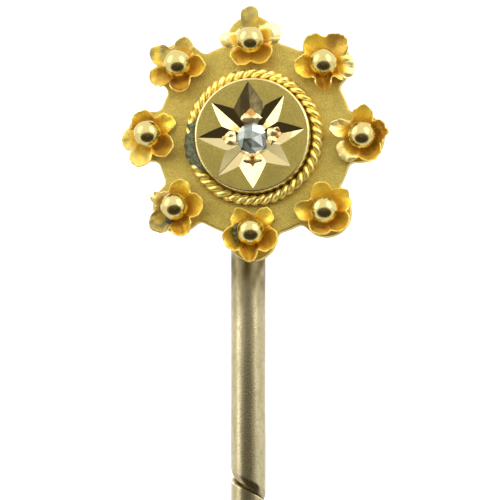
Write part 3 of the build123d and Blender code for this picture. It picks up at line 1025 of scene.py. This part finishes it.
def stem():
    low, high = box_mm("stem")
    radius = (high[0] - low[0]) / 2
    axis_x, axis_y = (low[0] + high[0]) / 2, high[1] - radius
    bend = axis_y - box_mm("stem_foot")[1][1]
    neck = high[2] - radius - bend
    step = groove_steps()
    # share of the groove's depth: down a steep wall, then up a long slope
    slope = clamp(1 - (step - GROOVE_WALL) / GROOVE_SLOPE) ** 1.7
    cut = np.where(step <= GROOVE_WALL, step / GROOVE_WALL, slope)
    tip = low[2]
    levels = [
        *(tip + s for s in POINT_LEVELS),
        *np.arange(tip + POINT_LENGTH, SPIRAL_END - 0.1, 0.45),
        *np.linspace(SPIRAL_END, SPIRAL_TOP, SPIRAL_TURNS * 40),
        *np.arange(SPIRAL_TOP + 0.15, neck, 0.35),
        neck,
    ]
    rows, soil, rim = [], [], []
    for z in levels:
        down = np.clip(SPIRAL_TOP - z, 0, SPIRAL_TOP - SPIRAL_END)
        angle = np.radians(step + 360 * down / SPIRAL_PITCH)
        share = min(1, down / 0.1) * min(1, (SPIRAL_TOP - SPIRAL_END - down) / 0.2)
        reach = wire_radius(z - tip, radius) - GROOVE_DEPTH * share * cut
        rows.append(polar(reach, angle, z) + (axis_x, axis_y, 0))
        # painted shade from the head, with tarnish: the wire darkens towards it
        tarnish = 0.9 * clamp((z - 0.7) / 2.0) ** 1.1 * clamp((neck - 1 - z) / 1.6)
        # painted shade on the groove's deep side
        soil.append(share * clamp(cut * 1.8 - 0.6) * (step > 0.5 * GROOVE_WALL) + tarnish)
        # painted highlight along the groove's sharp edge
        rim.append(share * bell(np.minimum(step, 360 - step), 0, 5))
    # the bend behind the head, and the end hidden in the foot
    angle = np.radians(step)
    out = bend + radius * np.sin(angle)
    for a in np.radians(np.linspace(0, 90, 14)[1:]):
        rows.append(np.stack((axis_x + radius * np.cos(angle), axis_y - bend + out * math.cos(a),
                              neck + out * math.sin(a)), -1))
        soil.append(np.zeros_like(step))
    last = rows[-1].copy()
    last[:, 1] += low[1] - last[:, 1].mean()
    rows.append(last)
    soil.append(np.full_like(step, 0.6))
    rim += [np.zeros_like(step)] * (len(rows) - len(rim))
    points = np.array(rows)
    soil = np.array(soil) * np.clip(0.8 + 0.7 * wobble(points, 5, 61), 0, 1.2)
    dent = 0.006 * wobble(points * np.array((1, 1, 0.5)), 1.6, 62)
    straight = points[..., 2] < neck - 0.2
    away = points[..., :2] - np.array((axis_x, axis_y))
    points[..., :2] += np.where(straight[..., None], away * (dent / radius + STEM_GROWTH)[..., None], 0)
    piece("wire", points, capped(len(rows), len(step)), [STEM], "stem_metal", ["stem"],
          crease=50, soil=soil, rim=np.array(rim))


def stem_foot():
    low, high = box_mm("stem_foot")
    x, z = (low[0] + high[0]) / 2, (low[2] + high[2]) / 2
    wide, tall = (high[0] - low[0]) / 2, high[1] - low[1]
    hole = radius_of("stem") + 0.006
    pad = 0.2
    socket = hole + 0.2
    # (radius, distance from the plate, painted shade with dirt in corners and the hole)
    profile = np.array([
        (0.02, 0, 0),
        (wide - 0.02, 0, 0.6),
        (wide, 0.03, 0.6),
        (wide, pad - 0.06, 0.2),
        (wide - 0.02, pad - 0.02, 0),
        (wide - 0.06, pad, 0),
        (socket + 0.07, pad, 0.6),
        (socket + 0.02, pad + 0.03, 0.7),
        (socket, pad + 0.09, 0.3),
        (socket - 0.01, tall - 0.07, 0),
        (socket - 0.02, tall - 0.02, 0),
        (socket - 0.06, tall, 0),
        (hole + 0.04, tall, 0.3),
        (hole, tall - 0.03, 0.9),
        (hole, pad + 0.02, 1),
        (0.02, pad + 0.01, 1),
    ])
    columns = 120
    points = revolve(profile[:, :2], columns)[..., (0, 2, 1)] + (x, low[1], z)
    ripple = 0.006 * wobble(points, 2.2, 71)
    points[..., 0] += (points[..., 0] - x) * (ripple + FOOT_GROWTH)
    points[..., 2] += (points[..., 2] - z) * (ripple + FOOT_GROWTH)
    # painted shade, with dirt, in the foot's corners and hole
    soil = profile[:, 2:] * (0.7 + 0.5 * wobble(points, 3, 72))
    piece("foot", points, capped(len(profile), columns), [STEM], "stem_metal",
          ["stem_foot"], crease=60, soil=soil, rim=np.zeros_like(soil))


back_plate()
boss_wall()
star_plate()
grains()
stone()
rope()
boss_r = head_box("boss_wall")[1][0]
crust("crust_boss", (0, 0), boss_r - 0.01, RESIDUE_FROM, RESIDUE_TO, 0.4, 0.52, "rope_gold", 33)
crust("crust_south", bead_place("south")[0], 0.47, 132, 218, 0.16, 0.42, "petal_gold", 36)
crust("crust_south_west", bead_place("south_west")[0], 0.43, 222, 262, 0.14, 0.22, "petal_gold", 39)
for index, (side, petals) in enumerate(FLOWERS.items()):
    flower(side, petals, 3 + 2 * index)
    bead(side, 51 + index)
stem()
stem_foot()


# ---- camera: a long lens, slightly below the head and to its right ----
VIEW_AZIMUTH = 6.5
VIEW_ELEVATION = -7.0
LENS = 300.0
SENSOR = 36.0
FIELD = 16.67 * MM  # width of the picture at the head
SHARE_RIGHT = 0.0074  # the head's middle is this share of the picture right of its middle
SHARE_UP = 0.2258  # and this share above it
CENTRE = Vector(HEAD * MM)


def toward(azimuth, elevation):
    """Direction from the head: azimuth 0 is straight out of its face, and goes round to its right."""
    a, e = math.radians(azimuth), math.radians(elevation)
    return Vector((math.sin(a) * math.cos(e), -math.cos(a) * math.cos(e), math.sin(e)))


def camera():
    data = bpy.data.cameras.new("camera")
    data.lens, data.sensor_width = LENS, SENSOR
    cam = add_object("camera", data)
    back = toward(VIEW_AZIMUTH, VIEW_ELEVATION)
    turn = (-back).to_track_quat("-Z", "Y")
    right, up = turn @ Vector((1, 0, 0)), turn @ Vector((0, 1, 0))
    distance = FIELD * LENS / SENSOR
    aim = CENTRE + Vector((0, -0.2 * MM, 0)) - right * SHARE_RIGHT * FIELD - up * SHARE_UP * FIELD
    cam.location = aim + back * distance
    cam.rotation_mode = "QUATERNION"
    cam.rotation_quaternion = turn
    data.clip_start, data.clip_end = 0.01, 10
    bpy.context.scene.camera = cam


camera()


# ---- stage: a white tent, a dark card around the lens, two soft lights and a pale floor ----
def staged(name, points, faces, material, **levels):
    mesh = bpy.data.meshes.new(name)
    mesh.from_pydata([tuple(p) for p in points], [], faces)
    mesh.materials.append(material)
    for mark, values in levels.items():
        add_mark(mesh, mark, values)
    obj = add_object(name, mesh)
    return obj


def glow(name, colour, strength=None):
    """A surface of even or marked brightness."""
    material = bpy.data.materials.new(name)
    material.use_nodes = True
    tree = material.node_tree
    tree.nodes.remove(tree.nodes["Principled BSDF"])
    emission = tree.nodes.new("ShaderNodeEmission")
    emission.inputs["Color"].default_value = (*colour, 1)
    if strength is None:
        mark = tree.nodes.new("ShaderNodeAttribute")
        mark.attribute_name = "level"
        tree.links.new(mark.outputs["Fac"], emission.inputs["Strength"])
        paler = tree.nodes.new("ShaderNodeMixRGB")
        paler.inputs["Color1"].default_value = (*colour, 1)
        paler.inputs["Color2"].default_value = (1, 1, 1, 1)
        tree.links.new(mark.outputs["Fac"], paler.inputs["Fac"])
        tree.links.new(paler.outputs["Color"], emission.inputs["Color"])
    else:
        emission.inputs["Strength"].default_value = strength
    tree.links.new(emission.outputs["Emission"], tree.nodes["Material Output"].inputs["Surface"])
    return material


TENT = 1.35  # brightness of the white tent
CARD_COLOUR = (1.0, 0.86, 0.62)
# the dark area as a ball at the head shows it: its middle right and up, half its width and height
CARD_RIGHT, CARD_UP, CARD_WIDE, CARD_TALL = 0.00, -0.26, 0.52, 0.37
LENS_UP, LENS_SIZE = -0.17, 0.05  # the bright lens in it
CARD_AWAY, CARD_OUT = 0.042, 1.15  # its distance from the head, and its edge in shares of its size
LIGHT_AWAY, LIGHT_SIDES = 0.4, 32
LIGHT_COLOUR = (1.0, 0.99, 0.97)
# (name, azimuth, elevation, half-angles wide and tall, brightness)
SOFT_LIGHTS = (
    ("light_left", -63, 27, 18, 26, 3.2),
    ("light_right", 51, 28, 18, 26, 3.4),
)
FLOOR_HALF, FLOOR_GAP = 1.5, 0.0002


def dark_card():
    """The dark camera and cloth in front of the tent, which only the polished metal sees."""
    a = math.radians(VIEW_AZIMUTH)
    back, right = toward(VIEW_AZIMUTH, VIEW_ELEVATION), Vector((math.cos(a), math.sin(a), 0))
    up = back.cross(right)
    rings, columns = 56, 96
    points, level = [], []
    for i in range(rings + 1):
        out = CARD_OUT * (i + 0.01) / rings
        for j in range(columns):
            t = 2 * math.pi * j / columns
            x = CARD_RIGHT + CARD_WIDE * out * math.cos(t)
            y = CARD_UP + CARD_TALL * out * math.sin(t)
            half = right * x + up * y + back * math.sqrt(1 - x * x - y * y)
            points.append(CENTRE + (2 * half.dot(back) * half - back) * CARD_AWAY)
            shade = 0.07 + 0.2 * max(0.0, out * math.sin(t)) ** 1.5
            shade += 0.35 * max(0.0, 1 - math.hypot(x, y - LENS_UP) / LENS_SIZE)
            fade = max(0.0, min(1.0, (out - 0.84) / 0.28))
            level.append(shade + (TENT - shade) * fade * fade * (3 - 2 * fade))
    card = staged("dark_card", points, capped(rings + 1, columns)[:-1], glow("card", CARD_COLOUR),
                  level=level)
    card.visible_camera = card.visible_diffuse = card.visible_shadow = card.visible_transmission = False


def soft_light(name, azimuth, elevation, wide, tall, strength):
    """An oval diffuser, lit evenly. wide and tall are half-angles seen from the head."""
    out = toward(azimuth, elevation)
    side = out.cross(Vector((0, 0, 1))).normalized() * math.tan(math.radians(wide))
    over = side.cross(out).normalized() * math.tan(math.radians(tall))
    ring = [CENTRE + (out + side * math.cos(t) + over * math.sin(t)) * LIGHT_AWAY
            for t in full_turn(LIGHT_SIDES)]
    light = staged(name, ring, [tuple(range(LIGHT_SIDES))], glow(name, LIGHT_COLOUR, strength))
    light.visible_camera = light.visible_shadow = False


def floor():
    """Pale paper floor under the pin's point."""
    level = CAD_BOX[0][2] - FLOOR_GAP
    points = [(x * FLOOR_HALF, y * FLOOR_HALF, level) for x, y in ((-1, -1), (1, -1), (1, 1), (-1, 1))]
    f = Finish("paper", (0.7, 0.7, 0.69), 0.7, metallic=0.0)
    f.blend(f.noise(0.6, 0.3, 0.7), (0.67, 0.67, 0.66))
    staged("floor", points, [(0, 1, 2, 3)], f.done())


dark_card()
for light in SOFT_LIGHTS:
    soft_light(*light)
floor()

world = bpy.data.worlds.new("tent")
bpy.context.scene.world = world
world.use_nodes = True
world.node_tree.nodes["Background"].inputs["Color"].default_value = (1, 1, 1, 1)
world.node_tree.nodes["Background"].inputs["Strength"].default_value = TENT
bpy.context.scene.view_settings.view_transform = "Standard"
